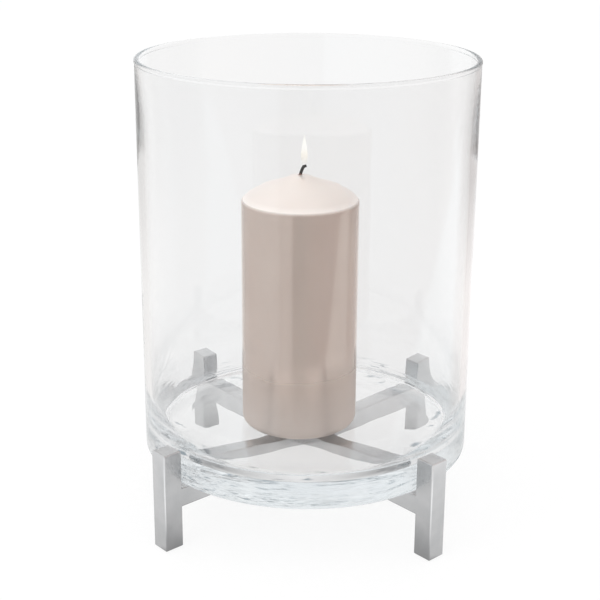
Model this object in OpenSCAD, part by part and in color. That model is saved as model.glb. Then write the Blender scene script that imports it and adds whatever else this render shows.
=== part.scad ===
// Hurricane candle lantern: a clear glass cylinder with a thick base, carried by a low
// four-legged cross of square steel bar, with one pillar candle standing inside the glass.
// Millimetres, +Z up. The origin is on the table under the middle of the glass, the front
// is towards -Y, and the four arms of the cross point at the four corners.

/* [Glass cylinder] */
// Outside diameter of the glass wall
glass_d = 200; // [180:1:260]
// Height of the glass from its foot to the top of its lip
glass_h = 240; // [200:1:340]
// Thickness of the glass wall
wall_t = 4; // [3:0.5:6]
// Diameter of the round bead that the fire-polished lip ends in
lip_d = 4.6; // [4.2:0.1:7]
// Thickness of the base in the middle, where the candle stands
base_t = 12.1; // [9:0.1:18]
// Width of the sunk seat left round the candle's standing ring
seat_margin = 1.5; // [0.5:0.5:6]
// Rise of the floor round the sunk seat
seat_step = 0.45; // [0.2:0.05:1.5]
// Width over which the floor rises round the seat
seat_ease = 24; // [6:1:30]
// Width over which the floor curls up before the fillet along the wall
floor_curl = 12; // [6:1:18]
// Slope of the floor where it runs into that fillet, in degrees
floor_slope = 8; // [2:1:12]
// Width of the tall fillet between the floor and the wall
fillet_w = 10.5; // [6:0.5:14]
// Height of that fillet
fillet_h = 28; // [12:1:36]
// Radius of the outer edge of the base
heel_r = 3; // [1.5:0.5:6]
// Height of the shallow hollow under the base
kick_h = 0.8; // [0.3:0.1:2]
// Width of the flat ring that the base stands on
ring_w = 19; // [16:1:24]

/* [Cross stand] */
// Side of the square steel bar
bar = 12; // [10:0.5:18]
// Height of the underside of the arms above the table
arm_clear = 26; // [14:1:50]
// Height of the posts above the top of the arms
post_h = 24; // [12:1:60]
// Play between the posts and the glass wall
post_gap = 2; // [0.5:0.5:4]
// Rounding of the bar's edges
edge_r = 1; // [0.3:0.1:1.5]

/* [Joints of the stand] */
// Play between the two bars in their half-lap
lap_fit = 0.05; // [0.02:0.01:0.15]
// Diameter of the round tenon on each end of a bar
tenon_d = 6; // [4:0.5:7]
// Length of the tenon
tenon_l = 7; // [4:0.5:8]
// Radial play between a tenon and its socket in the leg
tenon_fit = 0.05; // [0.02:0.01:0.15]
// Thread diameter of the screw under the half-lap
screw_d = 4; // [3:0.5:5]
// Head diameter of the screw
screw_head_d = 8; // [7:0.5:9]
// Depth of thread in the upper bar
screw_bite = 4; // [2.5:0.5:4.5]
// Radial play of the screw in its holes
screw_fit = 0.05; // [0.02:0.01:0.2]
// Depth of the tapped hole beyond the screw's end
screw_end_gap = 0.5; // [0.3:0.1:0.8]
// Width across the flats of the screw's hexagon socket
hex_af = 2.5; // [2:0.5:3]
// Depth of the hexagon socket
hex_depth = 1.5; // [1:0.1:2]

/* [Pads] */
// Diameter of the clear rest pads between arms and glass
pad_d = 9; // [6:0.5:9.5]
// Thickness of the rest pads
pad_t = 0.8; // [0.5:0.1:1.5]
// Distance of a rest pad's middle from the outside of the glass
pad_inset = 10; // [7:0.5:12]
// Diameter of the glides under the legs
glide_d = 8; // [6:0.5:9]
// Thickness of a glide
glide_t = 1.4; // [1:0.1:2.5]
// Height by which a glide stands out of its leg
glide_out = 0.5; // [0.3:0.1:0.9]
// Radial play of a glide in its recess
glide_fit = 0.05; // [0.02:0.01:0.2]

/* [Candle] */
// Diameter of the pillar candle
candle_d = 71; // [50:1:100]
// Height of the candle to the top of its peak
candle_h = 156; // [90:1:180]
// Distance of the candle from the middle of the glass, towards the left
candle_shift = 4; // [0:0.5:15]
// Rise of the broad dome on top
dome_h = 8.2; // [4:0.2:12]
// Rise of the small peak round the wick
peak_h = 4.8; // [3:0.2:8]
// Radius at which the peak has faded into the dome
peak_r = 12.5; // [8:0.5:15]
// Rounding of the candle's shoulder
shoulder_r = 2; // [1:0.5:5]
// Rounding of the candle's foot
foot_r = 5; // [2:0.5:8]
// Width of the flat ring that the candle stands on
foot_ring = 2; // [1:0.5:5]
// Depth of the shallow hollow under the candle
under_h = 0.5; // [0.3:0.1:1.5]

/* [Wick] */
// Diameter of the cotton wick
wick_d = 2.2; // [1.8:0.1:3]
// Height of the burnt wick above the wax
wick_out = 5.2; // [4:0.2:10]
// Sideways reach of the bent wick
wick_reach = 3.2; // [2:0.2:6]
// Depth below the peak at which the wick starts to bend
bend_depth = 0.2; // [0:0.1:1]
// Radial play of the wick in the wax and in its holder
wick_fit = 0.05; // [0.02:0.01:0.15]
// Diameter of the tin wick holder's plate
holder_d = 22; // [14:1:30]
// Thickness of the holder's sheet metal
holder_t = 0.4; // [0.3:0.1:0.8]
// Height of the holder's neck
neck_h = 6; // [3:0.5:10]
// Play between the holder and the wax
holder_fit = 0.1; // [0.05:0.05:0.3]

/* [Hidden] */

// Directions of the four arms, seen from above
front_left_deg = 225;
front_right_deg = 315;
rear_right_deg = 45;
rear_left_deg = 135;

glass_r = glass_d / 2;
arm_r = glass_r + post_gap;          // inner face of the posts
leg_mid_r = arm_r + bar / 2;
arm_top = arm_clear + bar;
arm_mid = arm_clear + bar / 2;
leg_top = arm_top + post_h;
leg_l = leg_top - glide_out;
glass_z = arm_top + pad_t;           // foot of the glass
pad_mid_r = glass_r - pad_inset;
candle_z = glass_z + base_t;         // top of the sunk seat in the glass floor
holder_z = candle_z + under_h;
candle_r = candle_d / 2;
bore_r = wick_d / 2 + wick_fit;
neck_r = bore_r + holder_t;

screw_l = bar / 2 + screw_bite;
screw_head_h = (screw_head_d - screw_d) / 2;   // a 90 degree countersunk head
thread_end = arm_mid + screw_bite + screw_end_gap;
overcut = 1;                         // lets a cut run past the face it opens

steel = "#C6C6C4";
clear_glass = [0.86, 0.93, 0.96, 0.35];
wax = "#C6B6AC";

$fn = 96;

// ---------------------------------------------------------------- helpers

// Points of an arc from angle a0 to a1 round a centre
function arc(cx, cy, r, a0, a1, steps = 12) =
    [for (i = [0:steps]) let (a = a0 + (a1 - a0) * i / steps) [cx + r * cos(a), cy + r * sin(a)]];

// A w by h rectangle with round corners, centred
module rounded_rect(w, h, r) {
    square([w - 2 * r, h], center = true);
    square([w, h - 2 * r], center = true);
    for (x = [-1, 1], y = [-1, 1])
        translate([x * (w / 2 - r), y * (h / 2 - r)]) circle(r, $fn = 24);
}

// ---------------------------------------------------------------- cross stand

// One bar of the cross along X, from post to post, with a round tenon on each end
module cross_bar_blank() {
    translate([-arm_r, 0, arm_mid]) rotate([90, 0, 90])
        linear_extrude(2 * arm_r) rounded_rect(bar, bar, edge_r);
    translate([-arm_r - tenon_l, 0, arm_mid]) rotate([0, 90, 0])
        cylinder(d = tenon_d, h = 2 * (arm_r + tenon_l));
}

// Block that takes half of a bar's height out where the other bar crosses it
module lap_notch(bottom) {
    translate([-bar / 2 - lap_fit, -bar, bottom])
        cube([bar + 2 * lap_fit, 2 * bar, bar / 2 + overcut]);
}

// Countersunk screw shape, head down, grown all round by play
module screw_shape(play, length) {
    translate([0, 0, arm_clear]) {
        cylinder(d1 = screw_head_d + 2 * play, d2 = screw_d + 2 * play, h = screw_head_h);
        cylinder(d = screw_d + 2 * play, h = length);
    }
}

module cross_bar_lower() {
    color(steel) rotate([0, 0, rear_right_deg]) difference() {
        cross_bar_blank();
        lap_notch(arm_mid);
        screw_shape(screw_fit, bar);
        // keeps the countersink open down to the bar's underside
        translate([0, 0, arm_clear - overcut])
            cylinder(d = screw_head_d + 2 * screw_fit, h = overcut);
    }
}

module cross_bar_upper() {
    color(steel) rotate([0, 0, rear_left_deg]) difference() {
        cross_bar_blank();
        lap_notch(arm_mid - bar / 2 - overcut);
        translate([0, 0, arm_mid - overcut])
            cylinder(d = screw_d + 2 * screw_fit, h = thread_end - arm_mid + overcut);
    }
}

module lap_screw() {
    color(steel) difference() {
        screw_shape(0, screw_l);
        translate([0, 0, arm_clear - overcut])
            cylinder(d = hex_af / cos(30), h = hex_depth + overcut, $fn = 6);
    }
}

// Leg along Z with its inner face at arm_r: round on top, foot and outer edges, and
// square on the inner edges, where the bar meets it flush
module leg_blank() {
    translate([leg_mid_r, 0, glide_out]) intersection() {
        linear_extrude(leg_l) {
            rounded_rect(bar, bar, edge_r);
            translate([-bar / 2, -bar / 2]) square([bar / 2, bar]);
        }
        translate([-bar / 2, 0, leg_l / 2]) rotate([90, 0, 90])
            linear_extrude(bar) rounded_rect(bar, leg_l, edge_r);
        translate([0, bar / 2, leg_l / 2]) rotate([90, 0, 0])
            linear_extrude(bar) rounded_rect(bar, leg_l, edge_r);
    }
}

module leg(direction) {
    color(steel) rotate([0, 0, direction]) difference() {
        leg_blank();
        // socket for the bar's tenon
        translate([arm_r - overcut, 0, arm_mid]) rotate([0, 90, 0])
            cylinder(r = tenon_d / 2 + tenon_fit, h = tenon_l + tenon_fit + overcut);
        // recess for the glide
        translate([leg_mid_r, 0, glide_out - overcut])
            cylinder(r = glide_d / 2 + glide_fit, h = glide_t - glide_out + overcut);
    }
}

module foot_glide(direction) {
    color("#3C3C3C") rotate([0, 0, direction]) translate([leg_mid_r, 0, 0])
        cylinder(d = glide_d, h = glide_t);
}

module rest_pad(direction) {
    color("#DCDCDC") rotate([0, 0, direction]) translate([pad_mid_r, 0, arm_top])
        cylinder(d = pad_d, h = pad_t);
}

// ---------------------------------------------------------------- glass

// Half section of the glass, radius along X and height along Y from its foot
function glass_section() =
    let (
        inner_r = glass_r - wall_t,
        lip_r = lip_d / 2,
        lip_x = glass_r - wall_t / 2,
        lip_z = glass_h - lip_r,
        neck_a = acos(wall_t / lip_d),          // where the bead leaves the wall
        kick_r = glass_r - heel_r - ring_w,
        fillet_a = atan2(fillet_h, fillet_w * tan(floor_slope)),   // where it meets the slope
        curl_r = inner_r - fillet_w * (1 - cos(fillet_a)) - floor_curl,
        curl_h = floor_curl * tan(floor_slope) / 2,
        level_z = base_t + seat_step,
        turn_z = level_z + curl_h + fillet_h * sin(fillet_a),
        seat_r = candle_r - foot_r + candle_shift + seat_margin,
        ease = min(seat_ease, curl_r - seat_r),
        steps = 16
    )
    concat(
        // shallow hollow under the base
        [for (i = [0:steps]) let (x = kick_r * i / steps) [x, kick_h * (1 - pow(x / kick_r, 2))]],
        arc(glass_r - heel_r, heel_r, heel_r, -90, 0),
        arc(lip_x, lip_z, lip_r, -neck_a, 180 + neck_a, 24),
        // fillet, a quarter of an ellipse but for the slope it ends in
        [for (i = [0:24]) let (a = fillet_a * i / 24)
            [inner_r - fillet_w * (1 - cos(a)), turn_z - fillet_h * sin(a)]],
        // floor that falls to its level part
        [for (i = [steps - 1:-1:0])
            [curl_r + floor_curl * i / steps, level_z + curl_h * pow(i / steps, 2)]],
        // slight fall from there to the sunk seat
        [for (i = [steps:-1:0])
            [seat_r + ease * i / steps, base_t + seat_step * (1 - cos(180 * i / steps)) / 2]],
        [[0, base_t]]
    );

module glass_cylinder() {
    color(clear_glass) translate([0, 0, glass_z])
        rotate_extrude($fn = 128) polygon(glass_section());
}

// ---------------------------------------------------------------- candle

// Height of the domed top above the shoulder: a broad dome with a small peak in the middle
function dome_z(x, edge) =
    dome_h * (1 - pow(x / edge, 3)) + peak_h * exp(-pow(x / peak_r, 2));

// Half section of the candle, with the wick's bore, the holder's recess and the hollow
// that keeps the holder clear of the glass
function candle_section() =
    let (
        shoulder_a = atan(3 * dome_h / candle_r),
        edge = candle_r - shoulder_r * (1 - sin(shoulder_a)),
        shoulder_z = candle_h - dome_h - peak_h,
        neck_top = under_h + neck_h + holder_fit,
        plate_r = holder_d / 2 + holder_fit,
        plate_top = under_h + holder_t + holder_fit,
        hollow_r = candle_r - foot_r - foot_ring,
        steps = 24
    )
    concat(
        [[bore_r, neck_top], [neck_r + holder_fit, neck_top], [neck_r + holder_fit, plate_top]],
        [[plate_r, plate_top], [plate_r, under_h], [hollow_r - under_h, under_h], [hollow_r, 0]],
        arc(candle_r - foot_r, foot_r, foot_r, -90, 0),
        arc(candle_r - shoulder_r, shoulder_z - shoulder_r * cos(shoulder_a), shoulder_r,
            0, 90 - shoulder_a, 8),
        [for (i = [steps - 1:-1:0]) let (x = bore_r + (edge - bore_r) * i / steps)
            [x, shoulder_z + dome_z(x, edge)]]
    );

module candle() {
    color(wax) translate([-candle_shift, 0, candle_z])
        rotate_extrude() polygon(candle_section());
}

// Burnt end of the wick, bending over to the right as it rises, in shares of its
// sideways reach and of its height above the wax
wick_bend = [[0, 0], [0.18, 0.4], [0.42, 0.76], [0.66, 0.95], [1, 1]];

module wick() {
    straight_l = candle_h - under_h - bend_depth;
    tip_r = wick_d / 2;
    color("#2A2320") translate([-candle_shift, 0, holder_z]) {
        cylinder(r = tip_r, h = straight_l, $fn = 32);
        translate([0, 0, straight_l]) for (i = [0:len(wick_bend) - 2]) hull()
            for (p = [wick_bend[i], wick_bend[i + 1]])
                translate([p[0] * wick_reach, 0, p[1] * wick_out]) sphere(tip_r, $fn = 20);
    }
}

module wick_holder() {
    color("#B9BABA") translate([-candle_shift, 0, holder_z]) difference() {
        union() {
            cylinder(d = holder_d, h = holder_t);
            cylinder(r = neck_r, h = neck_h, $fn = 48);
        }
        translate([0, 0, -overcut]) cylinder(r = bore_r, h = neck_h + 2 * overcut, $fn = 48);
    }
}

// ---------------------------------------------------------------- nodes

cross_bar_lower();
cross_bar_upper();
lap_screw();
leg(front_left_deg);  // leg_front_left
leg(front_right_deg);  // leg_front_right
leg(rear_right_deg);  // leg_rear_right
leg(rear_left_deg);  // leg_rear_left
foot_glide(front_left_deg);  // foot_glide_front_left
foot_glide(front_right_deg);  // foot_glide_front_right
foot_glide(rear_right_deg);  // foot_glide_rear_right
foot_glide(rear_left_deg);  // foot_glide_rear_left
rest_pad(front_left_deg);  // rest_pad_front_left
rest_pad(front_right_deg);  // rest_pad_front_right
rest_pad(rear_right_deg);  // rest_pad_rear_right
rest_pad(rear_left_deg);  // rest_pad_rear_left
glass_cylinder();
candle();
wick();
wick_holder();
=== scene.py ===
import math

import bmesh
import bpy
from mathutils import Matrix, Vector


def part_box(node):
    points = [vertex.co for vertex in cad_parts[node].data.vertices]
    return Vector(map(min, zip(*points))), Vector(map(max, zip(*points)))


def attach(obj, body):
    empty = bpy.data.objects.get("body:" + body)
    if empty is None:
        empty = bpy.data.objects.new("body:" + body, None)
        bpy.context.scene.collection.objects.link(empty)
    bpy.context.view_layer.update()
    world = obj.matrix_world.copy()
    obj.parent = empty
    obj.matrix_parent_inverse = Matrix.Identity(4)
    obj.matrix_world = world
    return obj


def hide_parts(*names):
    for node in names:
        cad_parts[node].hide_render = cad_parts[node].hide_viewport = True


# The hurricane candle lantern, dressed piece by piece in the order it is put together:
# the steel cross, its legs and pads, the glass, the candle with its wick, and the flame.
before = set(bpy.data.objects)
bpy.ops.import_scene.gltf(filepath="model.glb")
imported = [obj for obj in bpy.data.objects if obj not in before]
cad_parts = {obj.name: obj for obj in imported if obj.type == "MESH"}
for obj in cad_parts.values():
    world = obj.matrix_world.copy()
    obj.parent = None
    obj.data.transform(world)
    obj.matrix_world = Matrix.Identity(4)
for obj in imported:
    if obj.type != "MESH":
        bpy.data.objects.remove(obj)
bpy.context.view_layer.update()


# ------------------------------------------------------------------ cross bars and screw
# Two 12 mm square stainless bars, half-lapped in the middle and held from below by one
# zinc-plated socket screw. They are ground along their length and then satin polished.

MM = 0.001
ARM_TURN = math.radians(45)
GRIND_LENGTH = 60 * MM              # how long a grinding scratch runs
GRIND_PITCH = 0.35 * MM             # real scratches are finer: this is coarse enough to show
GRIND_DEPTH = 0.02 * MM
CLOUD_SIZE = 14 * MM                # size of the faint clouds that hand polishing leaves
SPANGLE_SIZE = 1.5 * MM             # mottle of the screw's zinc plating
NOISE_LOW, NOISE_HIGH = 0.3, 0.7    # a noise keeps almost wholly between these


def linear(colour):
    """An sRGB hex colour as linear RGBA. A grey or a tuple is a linear level already."""
    if isinstance(colour, tuple):
        return [*colour, 1]
    if not isinstance(colour, str):
        return [colour, colour, colour, 1]
    parts = [int(colour[i : i + 2], 16) / 255 for i in (1, 3, 5)]
    return [c / 12.92 if c <= 0.04045 else ((c + 0.055) / 1.055) ** 2.4 for c in parts] + [1]


def add(tree, kind, inputs=None, out=0, stops=None, **settings):
    """Adds a shader node and returns its output out, or all its outputs where out is None.
    Inputs take constants, or the outputs that feed them. A colour ramp takes its stops, each
    a position and a colour."""
    node = tree.nodes.new("ShaderNode" + kind)
    for name, value in settings.items():
        setattr(node, name, value)
    for name, value in (inputs or {}).items():
        if isinstance(value, bpy.types.NodeSocket):
            tree.links.new(value, node.inputs[name])
        else:
            node.inputs[name].default_value = value
    if stops:
        elements = node.color_ramp.elements
        while len(elements) < len(stops):
            elements.new(0.5)
        for element, (position, colour) in zip(elements, stops):
            element.position = position
            element.color = linear(colour)
    if out is None or not node.outputs:
        return node.outputs
    return node.outputs[out]


def start_material(name):
    """An empty material, its node tree, and the object coordinates."""
    material = bpy.data.materials.new(name)
    material.use_nodes = True
    material.node_tree.nodes.clear()
    place = add(material.node_tree, "TexCoord", out="Object")
    return material, material.node_tree, place


def dress(nodes, material):
    """Gives CAD nodes one material."""
    for name in nodes:
        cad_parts[name].data.materials.clear()
        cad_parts[name].data.materials.append(material)


def satin_steel(name, turn, length_axis):
    """Stainless steel bar, ground along its length and satin polished: soft mirror images
    under fine scratches. turn brings the bar's length onto length_axis, 0 for X or 2 for Z."""
    material, tree, place = start_material(name)
    lengthways = add(tree, "Mapping", {"Vector": place, "Rotation": turn})
    stretch = [1 / GRIND_PITCH, 1 / GRIND_PITCH, 1 / GRIND_PITCH]
    stretch[length_axis] = 1 / GRIND_LENGTH
    scratches = add(tree, "Mapping", {"Vector": lengthways, "Scale": stretch})
    grind = add(tree, "TexNoise", {"Vector": scratches, "Scale": 1.0, "Detail": 3.0})
    clouds = add(tree, "TexNoise", {"Vector": place, "Scale": 1 / CLOUD_SIZE, "Detail": 2.0})
    tone = add(tree, "MapRange", {"Value": clouds, "From Min": NOISE_LOW, "From Max": NOISE_HIGH})
    rough = add(tree, "MapRange", {
        "Value": grind, "From Min": NOISE_LOW, "From Max": NOISE_HIGH, "To Min": 0.15, "To Max": 0.26})
    colour = add(tree, "ValToRGB", {"Fac": tone}, stops=[(0.0, "#C6C7C8"), (1.0, "#D2D2D3")])
    bump = add(tree, "Bump", {"Height": grind, "Strength": 0.12, "Distance": GRIND_DEPTH})
    steel = add(tree, "BsdfPrincipled", {
        "Base Color": colour, "Metallic": 1.0, "Roughness": rough, "Normal": bump})
    add(tree, "OutputMaterial", {"Surface": steel})
    return material


def zinc_plate():
    """Zinc-plated steel: cool grey, a little mottled and duller than the bars."""
    material, tree, place = start_material("zinc_plated_steel")
    spangle = add(tree, "TexNoise", {"Vector": place, "Scale": 1 / SPANGLE_SIZE, "Detail": 2.0})
    colour = add(tree, "ValToRGB", {"Fac": spangle}, stops=[
        (NOISE_LOW, "#A9ACB0"), (NOISE_HIGH, "#BFC2C6")])
    zinc = add(tree, "BsdfPrincipled", {"Base Color": colour, "Metallic": 1.0, "Roughness": 0.34})
    add(tree, "OutputMaterial", {"Surface": zinc})
    return material


dress(["cross_bar_lower"], satin_steel("satin_steel_bar_lower", (0, 0, -ARM_TURN), 0))
dress(["cross_bar_upper"], satin_steel("satin_steel_bar_upper", (0, 0, ARM_TURN), 0))
dress(["lap_screw"], zinc_plate())


# ------------------------------------------------------------------ legs
# Four lengths of the same square bar, upright, each welded to the end of an arm and ground
# flush with it. Their edges are broken by hand, so they catch a thin line of light.

CORNERS = ["front_left", "front_right", "rear_right", "rear_left"]
dress(["leg_" + corner for corner in CORNERS], satin_steel("satin_steel_leg", (0, 0, -ARM_TURN), 2))


# ------------------------------------------------------------------ foot glides
# A moulded disc of hard black plastic, let into the underside of each leg. It stands a little
# proud of the steel, so that the lantern slides on a table top without scratching it.

GLIDE_GRAIN = 0.4 * MM
GLIDE_GRAIN_DEPTH = 0.05 * MM


def glide_plastic():
    """Moulded hard plastic, nearly black, with a fine matt grain."""
    material, tree, place = start_material("black_glide_plastic")
    grain = add(tree, "TexNoise", {"Vector": place, "Scale": 1 / GLIDE_GRAIN, "Detail": 2.0})
    colour = add(tree, "ValToRGB", {"Fac": grain}, stops=[
        (NOISE_LOW, "#242424"), (NOISE_HIGH, "#303030")])
    bump = add(tree, "Bump", {"Height": grain, "Strength": 0.2, "Distance": GLIDE_GRAIN_DEPTH})
    plastic = add(tree, "BsdfPrincipled", {"Base Color": colour, "Roughness": 0.5, "Normal": bump})
    add(tree, "OutputMaterial", {"Surface": plastic})
    return material


dress(["foot_glide_" + corner for corner in CORNERS], glide_plastic())


# ------------------------------------------------------------------ rest pads
# Thin clear silicone dots with a rounded rim, stuck on the arms close to the posts. The glass
# stands on them, so that it never touches the steel under it.

PAD_R = 4.5 * MM
PAD_T = 0.8 * MM
PAD_EDGE_R = 0.25 * MM
PAD_AIR = 0.02 * MM         # pad, steel and glass touch at their high spots, with air between
PAD_STEPS = 48              # flats round the spun piece
PAD_HAZE = 2 * MM           # size of the milky clouds in the silicone
LAMP_PASSES = (0.93, 0.95, 0.96)    # the share of lamp light that a clear piece lets through
BRACE = 0.4 * MM            # smooth shading may bend a straight run only this close to its ends
MERGE_GAP = 0.0005 * MM     # points closer than this are one


def let_lamps_through(tree, shader):
    """Mixes a shader with clear for lamp light, so that what stands behind glass is lit."""
    lamp_ray = add(tree, "LightPath", out="Is Shadow Ray")
    clear = add(tree, "BsdfTransparent", {"Color": linear(LAMP_PASSES)})
    return add(tree, "MixShader", {"Fac": lamp_ray, 1: shader, 2: clear})


def pad_silicone():
    """Clear silicone rubber: faintly milky in clouds, softly glossy."""
    material, tree, place = start_material("clear_silicone")
    haze = add(tree, "TexNoise", {"Vector": place, "Scale": 1 / PAD_HAZE, "Detail": 2.0})
    colour = add(tree, "ValToRGB", {"Fac": haze}, stops=[
        (NOISE_LOW, "#EEF0F0"), (NOISE_HIGH, "#F8F9F9")])
    silicone = add(tree, "BsdfPrincipled", {
        "Base Color": colour, "Roughness": 0.06, "IOR": 1.41, "Transmission Weight": 1.0})
    add(tree, "OutputMaterial", {"Surface": let_lamps_through(tree, silicone)})
    return material


def arc(across, up, radius, start, end, steps):
    """Points of an arc in an outline, from one angle to another in degrees."""
    turns = [math.radians(start + (end - start) * i / steps) for i in range(steps + 1)]
    return [(across + radius * math.cos(t), up + radius * math.sin(t)) for t in turns]


def braced(outline):
    """Adds a point close to each end of every long straight run, so that smooth shading
    leaves the run straight and bends only at its ends."""
    points = [Vector(outline[0])]
    for start, end in zip(outline, outline[1:]):
        run = Vector(end) - Vector(start)
        if run.length > 8 * BRACE:
            step = run.normalized() * BRACE
            points += [Vector(start) + step, Vector(end) - step]
        points.append(Vector(end))
    return points


def set_out(name, data):
    """Puts an object in the scene, with its data: a mesh, a curve, a lamp or a camera."""
    placed = bpy.data.objects.new(name, data)
    bpy.context.scene.collection.objects.link(placed)
    return placed


def turned(name, outline, steps, centre=(0, 0)):
    """Spins an outline of (radius, height) points round an upright axis into a closed piece."""
    work = bmesh.new()
    points = [work.verts.new((across, 0, up)) for across, up in braced(outline)]
    edges = [work.edges.new(pair) for pair in zip(points, points[1:])]
    bmesh.ops.spin(
        work, geom=points + edges, axis=(0, 0, 1), cent=(0, 0, 0), angle=math.tau, steps=steps,
        use_merge=True)
    bmesh.ops.remove_doubles(work, verts=work.verts, dist=MERGE_GAP)
    bmesh.ops.recalc_face_normals(work, faces=work.faces)
    bmesh.ops.translate(work, verts=work.verts, vec=(*centre, 0))
    for face in work.faces:
        face.smooth = True
    mesh = bpy.data.meshes.new(name)
    work.to_mesh(mesh)
    work.free()
    return set_out(name, mesh)


def pad_outline(foot):
    """A pad's half section above foot, with air left under it and over it."""
    top = PAD_T - PAD_AIR
    rim = arc(PAD_R - PAD_EDGE_R, top - PAD_EDGE_R, PAD_EDGE_R, 0, 90, steps=6)
    outline = [(0, PAD_AIR), (PAD_R, PAD_AIR)] + rim + [(0, top)]
    return [(across, foot + up) for across, up in outline]


silicone = pad_silicone()
for corner in CORNERS:
    low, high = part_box("rest_pad_" + corner)
    centre = ((low.x + high.x) / 2, (low.y + high.y) / 2)
    pad = turned("silicone_pad_" + corner, pad_outline(low.z), PAD_STEPS, centre)
    pad.data.materials.append(silicone)
    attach(pad, "stand")
    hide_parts("rest_pad_" + corner)


# ------------------------------------------------------------------ glass cylinder
# One piece of clear soda-lime glass, blown in a mould: even wall, fire-polished lip, thick
# base with a level middle, a soft turn up into the wall and a shallow hollow underneath.

GLASS_LOW, GLASS_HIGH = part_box("glass_cylinder")
GLASS_FOOT = GLASS_LOW.z
GLASS_HEIGHT = GLASS_HIGH.z - GLASS_LOW.z
GLASS_R = 100 * MM
GLASS_STEPS = 192
WALL = 4 * MM
LIP_R = 1.6 * MM            # the lip's bead stands a little proud of the wall on both sides
LIP_PROUD = 0.3 * MM
LIP_TAPER = 60 * MM         # the wall thins towards the lip over this height
TAPER_POINTS = 12
BASE = 12.1 * MM
SEAT_R = 36 * MM            # the candle's sunk seat, and the slight rise round it
SEAT_EASE = 24 * MM
SEAT_STEP = 0.45 * MM
CURL = 12 * MM              # the floor curls up over this width, then meets the fillet
FLOOR_SLOPE = math.radians(8)
FLOOR_POINTS = 20
FILLET_W = 10.5 * MM        # the fillet is a quarter ellipse, taller than it is wide
FILLET_H = 28 * MM
FILLET_POINTS = 32
HEEL_R = 3 * MM
KICK_R = 78 * MM            # the hollow underneath
KICK = 0.8 * MM
SWAY_SIZE = 45 * MM         # the whole surface sways a little, as blown glass does
SWAY_DEPTH = 0.4 * MM
RIPPLE_LENGTH = 25 * MM     # faint level ripples from the mould, strongest in the base
RIPPLE_PITCH = 2.5 * MM
RIPPLE_DEPTH = 0.3 * MM
RIPPLE_FADE = 100 * MM      # above this height the wall has none
# The ripples set in between these: far out to the left and right, on the wall, and on the ring
# that the glass stands on, where only its underside has them
SIDE_FROM, SIDE_TO = 0.9 * GLASS_R, 0.97 * GLASS_R
WALL_FROM, WALL_TO = 0.9 * GLASS_R, 0.95 * GLASS_R
RING_FROM, RING_TO = 0.76 * GLASS_R, 0.8 * GLASS_R
RING_TOP, RING_LOW = GLASS_FOOT + 0.5 * BASE, GLASS_FOOT + 0.3 * BASE
STREAK_LENGTH = 9 * MM       # painted shade: fine level dark streaks in patches round the base
STREAK_PITCH = 1.1 * MM
STREAK_PATCH = 26 * MM


def glass_outline():
    """The glass's half section: out under the base, round the heel, up the outside, over the
    lip, down the inside, and over the curl and the rise of the floor to its middle."""
    inner = GLASS_R - WALL
    fillet_turn = math.atan2(FILLET_H, FILLET_W * math.tan(FLOOR_SLOPE))
    curl_r = inner - FILLET_W * (1 - math.cos(fillet_turn)) - CURL
    curl_h = CURL * math.tan(FLOOR_SLOPE) / 2
    level = BASE + SEAT_STEP
    fillet_z = level + curl_h + FILLET_H * math.sin(fillet_turn)
    hollow = [(KICK_R * i / FLOOR_POINTS, KICK * (1 - (i / FLOOR_POINTS) ** 2)) for i in range(FLOOR_POINTS)]
    ring = [(KICK_R, 0)]
    heel = arc(GLASS_R - HEEL_R, HEEL_R, HEEL_R, -90, 0, steps=12)
    lip_leaves = math.degrees(math.acos(1 - LIP_PROUD / LIP_R))
    lip = arc(
        GLASS_R + LIP_PROUD - LIP_R, GLASS_HEIGHT - LIP_R, LIP_R, -lip_leaves, 180 + lip_leaves, steps=24)
    taper_top = lip[-1][1]
    thinned = WALL - 2 * (LIP_R - LIP_PROUD)
    taper = [(inner + thinned * (1 + math.cos(math.pi * i / TAPER_POINTS)) / 2,
              taper_top - LIP_TAPER * i / TAPER_POINTS) for i in range(1, TAPER_POINTS + 1)]
    fillet = [(inner - FILLET_W * (1 - math.cos(fillet_turn * i / FILLET_POINTS)),
               fillet_z - FILLET_H * math.sin(fillet_turn * i / FILLET_POINTS))
              for i in range(FILLET_POINTS + 1)]
    shares = [i / FLOOR_POINTS for i in range(FLOOR_POINTS, -1, -1)]
    curl = [(curl_r + CURL * t, level + curl_h * t * t) for t in shares[1:]]
    seat = [(SEAT_R + SEAT_EASE * t, BASE + SEAT_STEP * (1 - math.cos(math.pi * t)) / 2) for t in shares]
    outline = hollow + ring + heel + lip + taper + fillet + curl + seat + [(0, BASE)]
    return [(across, GLASS_FOOT + up) for across, up in outline]


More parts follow.
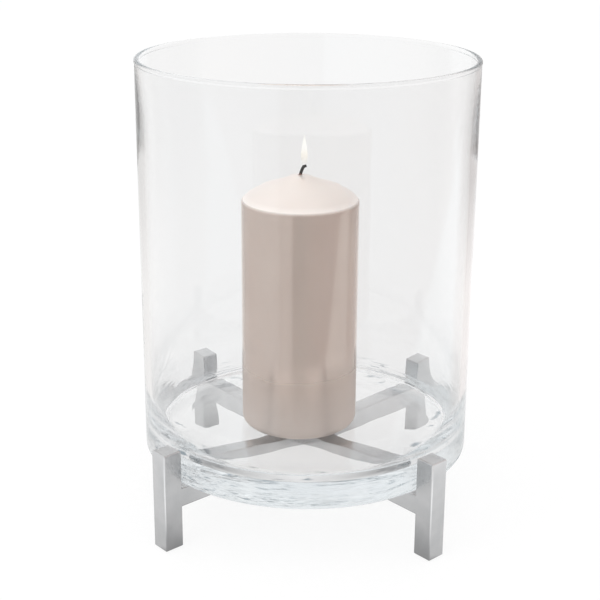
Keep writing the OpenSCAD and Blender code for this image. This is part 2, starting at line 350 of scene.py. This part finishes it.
def ripple_depth(tree, place):
    """How deep the mould's ripples are, from 0 to 1: full round the base and on the ring it
    stands on, shallow up the wall and mostly at its left and right, and none on the inner floor."""
    x, y, z = add(tree, "SeparateXYZ", {"Vector": place}, out=None)
    up = add(tree, "MapRange", {"Value": z, "From Min": GLASS_FOOT, "From Max": GLASS_FOOT + RIPPLE_FADE})
    in_base = add(tree, "ValToRGB", {"Fac": up}, stops=[
        (BASE / RIPPLE_FADE, 1.0), (1.5 * BASE / RIPPLE_FADE, 0.0)])
    above = add(tree, "ValToRGB", {"Fac": up}, stops=[(0.0, 0.4), (0.6, 0.2), (1.0, 0.0)])
    sideways = add(tree, "Math", {0: x}, operation="ABSOLUTE")
    at_side = add(tree, "MapRange", {
        "Value": sideways, "From Min": SIDE_FROM, "From Max": SIDE_TO, "To Min": 0.04, "To Max": 1.0})
    beside = add(tree, "Math", {0: above, 1: at_side}, operation="MULTIPLY")
    depth = add(tree, "Math", {0: in_base, 1: beside}, operation="MAXIMUM")
    level = add(tree, "CombineXYZ", {"X": x, "Y": y})
    reach = add(tree, "VectorMath", {0: level}, out="Value", operation="LENGTH")
    on_wall = add(tree, "MapRange", {"Value": reach, "From Min": WALL_FROM, "From Max": WALL_TO})
    on_ring = add(tree, "MapRange", {"Value": reach, "From Min": RING_FROM, "From Max": RING_TO})
    under = add(tree, "MapRange", {"Value": z, "From Min": RING_TOP, "From Max": RING_LOW})
    below = add(tree, "Math", {0: on_ring, 1: under}, operation="MULTIPLY")
    rippled = add(tree, "Math", {0: on_wall, 1: below}, operation="MAXIMUM")
    return add(tree, "Math", {0: depth, 1: rippled}, operation="MULTIPLY")


def painted_dark_streaks(tree, place):
    """Short level streaks in patches, from 0 to 1, where shade is painted into the glass's colour."""
    stretched = add(tree, "Mapping", {
        "Vector": place, "Scale": (1 / STREAK_LENGTH, 1 / STREAK_LENGTH, 1 / STREAK_PITCH)})
    streak_noise = add(tree, "TexNoise", {"Vector": stretched, "Scale": 1.0, "Detail": 2.0})
    patch = add(tree, "TexNoise", {"Vector": place, "Scale": 1 / STREAK_PATCH, "Detail": 1.0})
    line = add(tree, "ValToRGB", {"Fac": streak_noise}, stops=[(0.56, 0.0), (0.64, 1.0)])
    in_patch = add(tree, "ValToRGB", {"Fac": patch}, stops=[(0.46, 0.0), (0.58, 1.0)])
    return add(tree, "Math", {0: line, 1: in_patch}, operation="MULTIPLY")


def clear_glass():
    """Clear soda-lime glass: colourless through one wall, and a pale cool grey where light
    runs a long way inside it, as in the base and at the edges of the wall."""
    material, tree, place = start_material("clear_soda_lime_glass")
    depth = ripple_depth(tree, place)
    sway = add(tree, "TexNoise", {"Vector": place, "Scale": 1 / SWAY_SIZE, "Detail": 1.0})
    stretched = add(tree, "Mapping", {
        "Vector": place, "Scale": (1 / RIPPLE_LENGTH, 1 / RIPPLE_LENGTH, 1 / RIPPLE_PITCH)})
    ripple = add(tree, "TexNoise", {"Vector": stretched, "Scale": 1.0, "Detail": 1.0})
    fine = add(tree, "Math", {0: ripple, 1: depth}, operation="MULTIPLY")
    soft = add(tree, "Bump", {"Height": sway, "Strength": 0.25, "Distance": SWAY_DEPTH})
    bump = add(tree, "Bump", {"Height": fine, "Strength": 1.0, "Distance": RIPPLE_DEPTH, "Normal": soft})
    # painted shade: dark grey streaks are painted into the glass's colour where the ripples are deepest
    streak_shade = add(tree, "Math", {0: painted_dark_streaks(tree, place), 1: depth}, operation="MULTIPLY")
    tone = add(tree, "MixRGB", {"Fac": streak_shade, "Color1": linear("#F8F8F8"), "Color2": linear("#66757F")})
    glass = add(tree, "BsdfPrincipled", {
        "Base Color": tone, "Roughness": 0.0, "IOR": 1.52, "Transmission Weight": 1.0, "Normal": bump})
    tint = add(tree, "VolumeAbsorption", {"Color": linear("#D2D9DC"), "Density": 4.5})
    add(tree, "OutputMaterial", {"Surface": let_lamps_through(tree, glass), "Volume": tint})
    return material


glass = turned("glass_shell", glass_outline(), GLASS_STEPS)
glass.data.materials.append(clear_glass())
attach(glass, "glass")
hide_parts("glass_cylinder")


# ------------------------------------------------------------------ candle
# A moulded pillar candle, dipped in a pearl taupe lacquer: straight sides, rounded foot, and
# a broad dome on top that rises to a small peak round the wick.

CANDLE_LOW, CANDLE_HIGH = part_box("candle")
CANDLE_FOOT = CANDLE_LOW.z
CANDLE_R = (CANDLE_HIGH.y - CANDLE_LOW.y) / 2
CANDLE_AXIS = ((CANDLE_LOW.x + CANDLE_HIGH.x) / 2, 0.0)
CANDLE_H = 156 * MM
CANDLE_STEPS = 128
DOME = 8.2 * MM
DOME_POWER = 3              # the dome is nearly level in the middle and falls to its edge
DOME_POINTS = 30
PEAK = 4.8 * MM
PEAK_R = 12.5 * MM
SHOULDER_R = 3 * MM
CANDLE_FOOT_R = 5 * MM
UNDER_HOLLOW = 0.5 * MM
UNDER_RING = 2 * MM
BORE_R = 1.15 * MM
BORE_DEPTH = 12 * MM
WAX_TOP = CANDLE_FOOT + CANDLE_H
LACQUER_TOP = WAX_TOP - DOME - PEAK - 0.9 * MM      # the dip ends here, just under the dome
LACQUER_FADE = 0.8 * MM
PAINTED_LIGHT_TOP = CANDLE_FOOT + 32 * MM       # painted light makes the lacquer paler from here down to here, and most below it
PAINTED_LIGHT_LOW = CANDLE_FOOT + 8 * MM        # here, and most below it
DULL_TOP = CANDLE_FOOT + 51 * MM    # it is drawn duller from here, and most below DULL_LOW
DULL_LOW = CANDLE_FOOT + 19 * MM
DOME_HIGHLIGHT_RISE = 10 * MM         # a highlight is painted on the bare wax at the dome's edge and fades out this far up
DRIFT_SIZE = 30 * MM        # slow drift of the lacquer's colour and gloss
WAVE_SIZE = 18 * MM         # slight waves left in the wax by the mould
WAVE_DEPTH = 0.3 * MM


def candle_outline():
    """The candle's half section: out under the foot, up the side, over the shoulder and the
    dome, and down the wick's bore."""
    shoulder = math.atan(DOME_POWER * DOME / CANDLE_R)
    edge = CANDLE_R - SHOULDER_R * (1 - math.sin(shoulder))
    shoulder_z = CANDLE_H - DOME - PEAK
    foot = arc(CANDLE_R - CANDLE_FOOT_R, CANDLE_FOOT_R, CANDLE_FOOT_R, -90, 0, steps=12)
    under = [(0, UNDER_HOLLOW), (CANDLE_R - CANDLE_FOOT_R - UNDER_RING, UNDER_HOLLOW)]
    rounding = arc(
        CANDLE_R - SHOULDER_R, shoulder_z - SHOULDER_R * math.cos(shoulder), SHOULDER_R,
        0, 90 - math.degrees(shoulder), steps=8)
    dome = []
    for i in range(DOME_POINTS - 1, -1, -1):
        across = BORE_R + (edge - BORE_R) * i / DOME_POINTS
        rise = DOME * (1 - (across / edge) ** DOME_POWER) + PEAK * math.exp(-((across / PEAK_R) ** 2))
        dome.append((across, shoulder_z + rise))
    bore = [(BORE_R, CANDLE_H - BORE_DEPTH), (0, CANDLE_H - BORE_DEPTH)]
    outline = under + foot + rounding + dome + bore
    return [(across, CANDLE_FOOT + up) for across, up in outline]


def pearl_wax():
    """Candle wax under a pearl lacquer: a warm taupe whose mica flakes mirror the room softly,
    duller towards the foot, where painted light makes it paler. The dome is nearly bare wax,
    with a painted highlight at its edge."""
    material, tree, place = start_material("pearl_taupe_wax")
    height = add(tree, "SeparateXYZ", {"Vector": place}, out="Z")
    drift = add(tree, "TexNoise", {"Vector": place, "Scale": 1 / DRIFT_SIZE, "Detail": 2.0})
    taupe = add(tree, "ValToRGB", {"Fac": drift}, stops=[
        (NOISE_LOW, "#C4B2A7"), (NOISE_HIGH, "#C9B8AD")])
    # painted light: the lacquer is painted paler towards the foot, to #DCCDC4 at the bottom
    low = add(tree, "MapRange", {"Value": height, "From Min": PAINTED_LIGHT_TOP, "From Max": PAINTED_LIGHT_LOW})
    lacquer_with_painted_light = add(tree, "MixRGB", {"Fac": low, "Color1": taupe, "Color2": linear("#DCCDC4")})
    bare = add(tree, "MapRange", {
        "Value": height, "From Min": LACQUER_TOP - LACQUER_FADE, "From Max": LACQUER_TOP + LACQUER_FADE})
    # painted highlight: the bare wax is painted palest, #F8EFE9, at the dome's edge and evens out above
    rise = add(tree, "MapRange", {
        "Value": height, "From Min": LACQUER_TOP, "From Max": LACQUER_TOP + DOME_HIGHLIGHT_RISE})
    wax = add(tree, "ValToRGB", {"Fac": rise}, stops=[
        (0.1, "#F8EFE9"), (0.3, "#EFE4DD"), (0.8, "#ECE1DA")])
    colour = add(tree, "MixRGB", {"Fac": bare, "Color1": lacquer_with_painted_light, "Color2": wax})
    pearl = add(tree, "MapRange", {"Value": bare, "To Min": 0.66, "To Max": 0.35})
    dulled = add(tree, "MapRange", {
        "Value": height, "From Min": DULL_LOW, "From Max": DULL_TOP, "To Min": 0.36, "To Max": 0.0})
    sheen = add(tree, "MapRange", {"Value": drift, "To Min": 0.1, "To Max": 0.15})
    gloss = add(tree, "Math", {0: sheen, 1: dulled}, operation="ADD")
    rough = add(tree, "MixRGB", {"Fac": bare, "Color1": gloss, "Color2": linear(0.3)})
    wave = add(tree, "TexNoise", {"Vector": place, "Scale": 1 / WAVE_SIZE, "Detail": 2.0})
    bump = add(tree, "Bump", {"Height": wave, "Strength": 0.2, "Distance": WAVE_DEPTH})
    coated = add(tree, "BsdfPrincipled", {
        "Base Color": colour, "Metallic": pearl, "Roughness": rough, "IOR": 1.45, "Normal": bump,
        "Subsurface Weight": 0.1, "Subsurface Radius": (1.0, 0.6, 0.45), "Subsurface Scale": 4 * MM})
    add(tree, "OutputMaterial", {"Surface": coated})
    return material


candle = turned("pillar_candle_wax", candle_outline(), CANDLE_STEPS, CANDLE_AXIS)
candle.data.materials.append(pearl_wax())
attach(candle, "pillar_candle")
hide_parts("candle")


# ------------------------------------------------------------------ wick and holder
# Braided cotton, three strands over each other, charred black where it has burnt and brown
# just above the wax. Under the wax a pressed tinplate holder grips its foot.

WICK_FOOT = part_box("wick")[0].z
WICK_STRAIGHT = WAX_TOP - 0.2 * MM - WICK_FOOT      # height of its straight part, in the wax
WICK_OUT = 5.2 * MM         # the bent end rises this far, and reaches this far to the right
WICK_REACH = 3.2 * MM
WICK_BEND = [(0, 0), (0.18, 0.4), (0.42, 0.76), (0.66, 0.95), (1, 1)]   # shares of both
WAX_SHARE = 0.9             # the straight part's share of the walk along the wick
BRAID_FROM = 0.86           # the braid is modelled from this share on
BRAID_POINTS = 90
BRAID_PITCH = 3.6 * MM
BRAID_HALF = 0.42 * MM      # how far a strand sways to each side
BRAID_DEPTH = BRAID_HALF * 0.6      # and to front and back
STRAND_R = 0.62 * MM
FUZZ_SIZE = 0.5 * MM
FUZZ_DEPTH = 0.15 * MM
SCORCH_LOW = WAX_TOP - 1.5 * MM
SCORCH_TOP = WAX_TOP + 2.5 * MM
ROLLING_GRAIN = 1.2 * MM    # faint grain that rolling leaves in the tinplate


def wick_middle(share):
    """A point on the wick's middle line, from its foot (0) to its tip (1)."""
    if share < WAX_SHARE:
        return Vector((0, 0, WICK_FOOT + WICK_STRAIGHT * share / WAX_SHARE))
    spot = (share - WAX_SHARE) / (1 - WAX_SHARE) * (len(WICK_BEND) - 1)
    leg = min(int(spot), len(WICK_BEND) - 2)
    here, there = WICK_BEND[leg], WICK_BEND[leg + 1]
    part = spot - leg
    reach = here[0] + (there[0] - here[0]) * part
    rise = here[1] + (there[1] - here[1]) * part
    return Vector((reach * WICK_REACH, 0, WICK_FOOT + WICK_STRAIGHT + rise * WICK_OUT))


def braided_wick():
    """Three strands that cross over each other along the wick's middle line, as one mesh."""
    curve = bpy.data.curves.new("braid", "CURVE")
    curve.dimensions = "3D"
    curve.bevel_depth = STRAND_R
    curve.bevel_resolution = 3
    curve.use_fill_caps = True
    for strand in range(3):
        spline = curve.splines.new("POLY")
        spline.points.add(BRAID_POINTS)
        travelled = 0.0
        before = wick_middle(BRAID_FROM)
        for i in range(BRAID_POINTS + 1):
            middle = wick_middle(BRAID_FROM + (1 - BRAID_FROM) * i / BRAID_POINTS)
            travelled += (middle - before).length
            before = middle
            phase = math.tau * (travelled / BRAID_PITCH + strand / 3)
            side = BRAID_HALF * math.sin(phase)
            depth = BRAID_DEPTH * math.sin(2 * phase)
            spline.points[i].co = (*(middle + Vector((side, depth, 0))), 1)
    made = set_out("braid", curve)
    mesh = bpy.data.meshes.new_from_object(made.evaluated_get(bpy.context.evaluated_depsgraph_get()))
    bpy.data.objects.remove(made)
    mesh.name = "braided_wick"
    mesh.transform(Matrix.Translation((*CANDLE_AXIS, 0)))
    mesh.shade_smooth()
    return set_out("braided_wick", mesh)


def burnt_cotton():
    """Cotton braid, waxed pale at its foot, scorched brown above the wax and charred black
    at the end."""
    material, tree, place = start_material("burnt_cotton_braid")
    fuzz = add(tree, "TexNoise", {"Vector": place, "Scale": 1 / FUZZ_SIZE, "Detail": 3.0})
    height = add(tree, "SeparateXYZ", {"Vector": place}, out="Z")
    burn = add(tree, "MapRange", {"Value": height, "From Min": SCORCH_LOW, "From Max": SCORCH_TOP})
    colour = add(tree, "ValToRGB", {"Fac": burn}, stops=[
        (0.0, "#D9C3AE"), (0.35, "#7A4B38"), (0.55, "#241512"), (1.0, "#080605")])
    bump = add(tree, "Bump", {"Height": fuzz, "Strength": 0.6, "Distance": FUZZ_DEPTH})
    cotton = add(tree, "BsdfPrincipled", {
        "Base Color": colour, "Roughness": 1.0, "Specular IOR Level": 0.2, "Normal": bump})
    add(tree, "OutputMaterial", {"Surface": cotton})
    return material


def tinplate():
    """Bright tinned sheet steel with a faint rolling grain."""
    material, tree, place = start_material("bright_tinplate")
    grain = add(tree, "TexNoise", {"Vector": place, "Scale": 1 / ROLLING_GRAIN, "Detail": 2.0})
    colour = add(tree, "ValToRGB", {"Fac": grain}, stops=[
        (NOISE_LOW, "#C4C5C6"), (NOISE_HIGH, "#D3D4D5")])
    tin = add(tree, "BsdfPrincipled", {"Base Color": colour, "Metallic": 1.0, "Roughness": 0.28})
    add(tree, "OutputMaterial", {"Surface": tin})
    return material


wick = braided_wick()
wick.data.materials.append(burnt_cotton())
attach(wick, "pillar_candle")
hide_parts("wick")
dress(["wick_holder"], tinplate())


# ------------------------------------------------------------------ flame
# The burning vapour above the wick. It isn't a solid piece of the lantern: it is modelled
# only to be seen, and it goes wherever the candle goes.

FLAME_FOOT = WAX_TOP + 3.2 * MM
FLAME_H = 20.5 * MM
FLAME_R = 1.95 * MM
FLAME_OFFSET = 2.3 * MM     # it stands over the wick's bent end
FLAME_SINK = 0.8            # under 1, its widest point sinks below the middle
FLAME_BLUNT = 0.95          # under 1, its ends are blunter
FLAME_SLENDER = 0.3         # how much it slims towards the tip
FLAME_FILL = 1.12           # widens it again, to about FLAME_R
FLAME_POINTS = 28
FLAME_STEPS = 32


def flame_outline():
    """Half of a pointed drop, widest a little below its middle."""
    outline = [(0, FLAME_FOOT)]
    for i in range(1, FLAME_POINTS):
        share = i / FLAME_POINTS
        width = math.sin(math.pi * share ** FLAME_SINK) ** FLAME_BLUNT * (1 - FLAME_SLENDER * share)
        outline.append((FLAME_R * width * FLAME_FILL, FLAME_FOOT + FLAME_H * share))
    return outline + [(0, FLAME_FOOT + FLAME_H)]


def burning_vapour():
    """Candle flame: thin and nearly clear at its foot, then a warm, almost white body."""
    material, tree, place = start_material("candle_flame")
    height = add(tree, "SeparateXYZ", {"Vector": place}, out="Z")
    share = add(tree, "MapRange", {
        "Value": height, "From Min": FLAME_FOOT, "From Max": FLAME_FOOT + FLAME_H})
    colour = add(tree, "ValToRGB", {"Fac": share}, stops=[
        (0.0, "#E9C7A0"), (0.25, "#FFF4E0"), (0.6, "#FFFEFA"), (1.0, "#FFFEF8")])
    cover = add(tree, "ValToRGB", {"Fac": share}, stops=[
        (0.12, 0.0), (0.3, 0.2), (0.5, 0.75), (0.8, 0.9), (1.0, 0.7)])
    glow = add(tree, "Emission", {"Color": colour, "Strength": 1.1})
    clear = add(tree, "BsdfTransparent")
    vapour = add(tree, "MixShader", {"Fac": cover, 1: clear, 2: glow})
    add(tree, "OutputMaterial", {"Surface": vapour})
    return material


flame = turned("flame", flame_outline(), FLAME_STEPS, (CANDLE_AXIS[0] + FLAME_OFFSET, 0))
flame.data.materials.append(burning_vapour())
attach(flame, "pillar_candle")


# ------------------------------------------------------------------ studio
# A white sweep on the floor, a pale room that lights from all round and most from above, and a
# round tent of cloth that only shining surfaces show: bright at the left front, dimmer at the
# right front, with a bright strip at the right, and bright at the back but dimmer high up.

SWEEP_R = 20.0
SWEEP_GLOW = 0.88
SWEEP_PAPER = "#606060"
ROUND = 96                  # corners of the sweep, the tent and its floor
TENT_R = 0.22
TENT_H = 0.6
TENT_FOOT = 0.2 * MM        # the tent and its floor hang just clear of the sweep
TENT_FLOOR = 0.25 * MM
# The cloth's light as red, green and blue, at bearings in degrees: 0 in front, 90 at the right
TENT_CLOTH = [
    (-180, (1.25, 1.25, 1.25)), (-150, (1.15, 1.15, 1.15)), (-132, (0.89, 0.88, 0.87)),
    (-110, (0.96, 0.94, 0.93)), (-60, (1.00, 1.02, 1.03)), (-20, (0.99, 1.01, 1.03)),
    (-12, (0.95, 0.96, 0.97)), (-10, (0.69, 0.68, 0.67)), (8, (0.70, 0.69, 0.68)),
    (24, (0.78, 0.74, 0.73)), (66, (0.86, 0.80, 0.79)), (101, (0.95, 0.90, 0.88)),
    (104, (0.99, 0.95, 0.93)), (130, (0.95, 0.91, 0.90)), (150, (1.12, 1.10, 1.10)),
    (180, (1.25, 1.25, 1.25))]
# The share of that light which it keeps above BACK_HIGH: the back is dimmer high up
BACK_SHADE = [
    (-180, 0.80), (-150, 0.88), (-120, 0.86), (-100, 1.0), (95, 1.0), (110, 0.72), (150, 0.75),
    (180, 0.80)]
BACK_LOW, BACK_HIGH = 0.09, 0.17
STRIP_CLOTH = (1.14, 1.15, 1.16)
STRIP_FROM, STRIP_TO = 67, 102      # bearings of the bright strip at the height STRIP_LEVEL
STRIP_LEVEL = 0.08
STRIP_LEAN = 260                    # degrees that its near edge leans over in a metre of height
STRIP_SOFT = 1.5                    # half the width of its soft edges, in degrees
LEG_SPOT = 76.4 * MM                # a leg's middle, from the lantern's, along X and along Y
LEG_SHADE = 0.15                    # the floor is drawn darker round a leg as far as this
SIDE_BAND = 8 * MM                  # and less beyond its outer side, over this width
FRONT_FROM, FRONT_TO = -0.10, -0.15     # the floor is brightest this far in front of the middle
FRONT_GAP, FRONT_EDGE = 0.045, 0.055    # and this far to each side of it
FRONT_CLOTH = 1.5


def seen_plainly(tree):
    """1 where the camera sees something directly, mirrored in metal or through glass."""
    seen = add(tree, "LightPath", out="Is Camera Ray")
    for ray in ("Is Glossy Ray", "Is Transmission Ray"):
        seen = add(tree, "Math", {0: seen, 1: add(tree, "LightPath", out=ray)}, operation="MAXIMUM")
    return seen


def studio_room():
    """The room: white round the sweep, greyer higher up, with a bright ceiling that does the
    lighting."""
    room = bpy.data.worlds.new("studio_room")
    bpy.context.scene.world = room
    room.use_nodes = True
    tree = room.node_tree
    tree.nodes.clear()
    direction = add(tree, "TexCoord", out="Generated")
    rise = add(tree, "SeparateXYZ", {"Vector": direction}, out="Z")
    look = add(tree, "ValToRGB", {"Fac": rise}, stops=[
        (0.0, 1.0), (0.35, 1.0), (0.6, 0.85), (0.85, 0.85), (0.95, 1.0)])
    light = add(tree, "ValToRGB", {"Fac": rise}, stops=[(0.0, 0.3), (0.5, 0.5), (0.9, 1.0)])
    shown = add(tree, "Background", {"Color": look, "Strength": 1.0})
    lit = add(tree, "Background", {"Color": light, "Strength": 1.5})
    both = add(tree, "MixShader", {"Fac": seen_plainly(tree), 1: lit, 2: shown})
    add(tree, "OutputWorld", {"Surface": both})


def laid_out(name, work, material):
    """A stage piece of a bmesh and a glowing material, which isn't sampled as a lamp."""
    mesh = bpy.data.meshes.new(name)
    work.to_mesh(mesh)
    work.free()
    material.cycles.emission_sampling = "NONE"
    mesh.materials.append(material)
    return set_out(name, mesh)


def white_sweep():
    """Background paper that keeps the lantern's shadow, with a glow that makes it white."""
    work = bmesh.new()
    bmesh.ops.create_circle(work, cap_ends=True, segments=ROUND, radius=SWEEP_R)
    material, tree, _ = start_material("white_background_paper")
    paper = add(tree, "BsdfDiffuse", {"Color": linear(SWEEP_PAPER)})
    level = add(tree, "Math", {0: seen_plainly(tree), 1: SWEEP_GLOW}, operation="MULTIPLY")
    glow = add(tree, "Emission", {"Color": linear("#FFFFFF"), "Strength": level})
    white = add(tree, "AddShader", {0: paper, 1: glow})
    add(tree, "OutputMaterial", {"Surface": white})
    sweep = laid_out("white_sweep", work, material)


def only_mirrored(tree, colour):
    """Ends a material as cloth that glows in a colour, clear unless seen in a mirroring."""
    glow = add(tree, "Emission", {"Color": colour, "Strength": 1.0})
    clear = add(tree, "BsdfTransparent")
    depth = add(tree, "LightPath", out="Glossy Depth")
    mirrored = add(tree, "Math", {0: depth, 1: 1.0}, operation="MINIMUM")
    cloth = add(tree, "MixShader", {"Fac": mirrored, 1: clear, 2: glow})
    add(tree, "OutputMaterial", {"Surface": cloth})


def hide_from_light(cloth):
    """Leaves a cloth to mirroring: the camera and the light pass it by."""
    cloth.visible_camera = False
    cloth.visible_diffuse = False
    cloth.visible_shadow = False


def bearing_share(degrees):
    """Where a bearing lies on a gradient that runs from the back round by the left to the back."""
    return 0.5 + degrees / 360


def light_tent():
    """A wall of glowing cloth round the lantern, seen only after a mirroring: metal, wax and
    glass reflect it, and it gives no other light and doesn't hide the room."""
    work = bmesh.new()
    bmesh.ops.create_cone(work, segments=ROUND, radius1=TENT_R, radius2=TENT_R, depth=TENT_H)
    bmesh.ops.translate(work, verts=work.verts, vec=(0, 0, TENT_H / 2 + TENT_FOOT))
    material, tree, place = start_material("diffusing_cloth")
    faced = add(tree, "Mapping", {"Vector": place, "Rotation": (0, 0, math.pi / 2)})
    bearing = add(tree, "TexGradient", {"Vector": faced}, out="Fac", gradient_type="RADIAL")
    cloth = add(tree, "ValToRGB", {"Fac": bearing}, stops=[
        (bearing_share(degrees), light) for degrees, light in TENT_CLOTH])
    height = add(tree, "SeparateXYZ", {"Vector": place}, out="Z")
    high = add(tree, "MapRange", {"Value": height, "From Min": BACK_LOW, "From Max": BACK_HIGH})
    shade = add(tree, "ValToRGB", {"Fac": bearing}, stops=[
        (bearing_share(degrees), kept) for degrees, kept in BACK_SHADE])
    shaded = add(tree, "MixRGB", {"Fac": high, "Color1": cloth, "Color2": shade}, blend_type="MULTIPLY")
    lean = add(tree, "MapRange", {
        "Value": height, "From Min": 0.0, "From Max": 1.0,
        "To Min": math.radians(STRIP_LEAN * STRIP_LEVEL),
        "To Max": math.radians(STRIP_LEAN * (STRIP_LEVEL - 1))}, clamp=False)
    leant = add(tree, "VectorRotate", {"Vector": faced, "Angle": lean}, rotation_type="Z_AXIS")
    near = add(tree, "TexGradient", {"Vector": leant}, out="Fac", gradient_type="RADIAL")
    started = add(tree, "ValToRGB", {"Fac": near}, stops=[
        (bearing_share(STRIP_FROM - STRIP_SOFT), 0.0), (bearing_share(STRIP_FROM + STRIP_SOFT), 1.0)])
    ended = add(tree, "ValToRGB", {"Fac": bearing}, stops=[
        (bearing_share(STRIP_TO - STRIP_SOFT), 1.0), (bearing_share(STRIP_TO + STRIP_SOFT), 0.0)])
    strip = add(tree, "Math", {0: started, 1: ended}, operation="MULTIPLY")
    tone = add(tree, "MixRGB", {"Fac": strip, "Color1": shaded, "Color2": linear(STRIP_CLOTH)})
    only_mirrored(tree, tone)
    tent = laid_out("light_tent", work, material)
    hide_from_light(tent)


def floor_cloth():
    """The tent's floor, seen only after a mirroring too: drawn darker beside the legs, where the
    lantern would shade it, and brightest in front."""
    work = bmesh.new()
    bmesh.ops.create_circle(work, cap_ends=True, segments=ROUND, radius=TENT_R + MM)
    bmesh.ops.translate(work, verts=work.verts, vec=(0, 0, TENT_FLOOR))
    material, tree, place = start_material("shaded_floor_cloth")
    folded = add(tree, "VectorMath", {0: place}, operation="ABSOLUTE")
    from_leg = add(tree, "VectorMath", {0: folded, 1: (LEG_SPOT, LEG_SPOT, 0)}, operation="SUBTRACT")
    distance = add(tree, "VectorMath", {0: from_leg}, out="Value", operation="LENGTH")
    away = add(tree, "MapRange", {"Value": distance, "From Min": 0.0, "From Max": LEG_SHADE})
    within = add(tree, "ValToRGB", {"Fac": away}, stops=[
        (0.04, 0.40), (0.2, 0.60), (0.42, 0.79), (0.57, 0.91), (0.75, 1.0), (1.0, 1.04)])
    outside = add(tree, "ValToRGB", {"Fac": away}, stops=[
        (0.04, 0.76), (0.2, 0.83), (0.42, 0.90), (0.8, 0.98)])
    sideways = add(tree, "SeparateXYZ", {"Vector": folded}, out="X")
    beyond = add(tree, "MapRange", {
        "Value": sideways, "From Min": LEG_SPOT, "From Max": LEG_SPOT + SIDE_BAND})
    shaded = add(tree, "MixRGB", {"Fac": beyond, "Color1": within, "Color2": outside})
    forward = add(tree, "SeparateXYZ", {"Vector": place}, out="Y")
    ahead = add(tree, "MapRange", {"Value": forward, "From Min": FRONT_FROM, "From Max": FRONT_TO})
    abeam = add(tree, "MapRange", {"Value": sideways, "From Min": FRONT_GAP, "From Max": FRONT_EDGE})
    front = add(tree, "Math", {0: ahead, 1: abeam}, operation="MULTIPLY")
    tone = add(tree, "MixRGB", {"Fac": front, "Color1": shaded, "Color2": linear(FRONT_CLOTH)})
    only_mirrored(tree, tone)
    floor = laid_out("floor_cloth", work, material)
    hide_from_light(floor)


def soft_box(name, bearing, distance, low, high, width, power):
    """An upright soft light that faces the lantern. The bearing is in degrees from straight
    ahead towards the right. It gives soft light and isn't itself seen or mirrored."""
    light = bpy.data.lights.new(name, "AREA")
    light.shape = "RECTANGLE"
    light.size = width
    light.size_y = high - low
    light.energy = power
    turn = math.radians(bearing)
    spot = Vector((distance * math.sin(turn), -distance * math.cos(turn), (low + high) / 2))
    lamp = set_out(name, light)
    lamp.matrix_world = (
        Matrix.Translation(spot) @ Matrix.Rotation(turn, 4, "Z") @ Matrix.Rotation(math.pi / 2, 4, "X"))
    lamp.visible_camera = False
    lamp.visible_glossy = False
    lamp.visible_transmission = False


studio_room()
white_sweep()
light_tent()
floor_cloth()
soft_box("left_front_box", bearing=-35, distance=0.6, low=0.0, high=0.7, width=0.48, power=1.6)


# ------------------------------------------------------------------ camera
# A long lens a little to the right of straight ahead, above the rim of the glass and tilted
# down, so that the mouth, the dome of the candle and the cross under the base all show.

CAMERA_TURN = math.radians(2.85)
CAMERA_RISE = math.radians(17.73)
CAMERA_ROLL = math.radians(0.32)
CAMERA_DISTANCE = 774.6 * MM
AIM_ACROSS = -3.94 * MM         # it looks at a point this far across and up, in the candle
AIM_HEIGHT = 152.2 * MM
SENSOR = 36.0
FOCAL_SHARE = 1274.3 / 600      # focal length over the picture's width
LENS_SHIFT = -0.06              # the lens is shifted down by this share of the picture's width
LIGHT_BOUNCES = 96              # light turns many times in the thick base before it comes out

camera_data = bpy.data.cameras.new("camera")
camera_data.sensor_width = SENSOR
camera_data.lens = SENSOR * FOCAL_SHARE
camera_data.shift_y = LENS_SHIFT
camera = set_out("camera", camera_data)
bpy.context.scene.camera = camera
turn = Matrix.Rotation(CAMERA_TURN, 3, "Z")
stand_off = Vector((
    0, -CAMERA_DISTANCE * math.cos(CAMERA_RISE), AIM_HEIGHT + CAMERA_DISTANCE * math.sin(CAMERA_RISE)))
camera_place = turn @ stand_off
look = turn @ Vector((AIM_ACROSS, 0, AIM_HEIGHT)) - camera_place
camera.matrix_world = (
    Matrix.Translation(camera_place)
    @ look.to_track_quat("-Z", "Y").to_matrix().to_4x4()
    @ Matrix.Rotation(CAMERA_ROLL, 4, "Z"))

scene = bpy.context.scene
scene.cycles.max_bounces = LIGHT_BOUNCES
scene.cycles.glossy_bounces = LIGHT_BOUNCES
scene.cycles.transmission_bounces = LIGHT_BOUNCES
scene.view_settings.view_transform = "Standard"
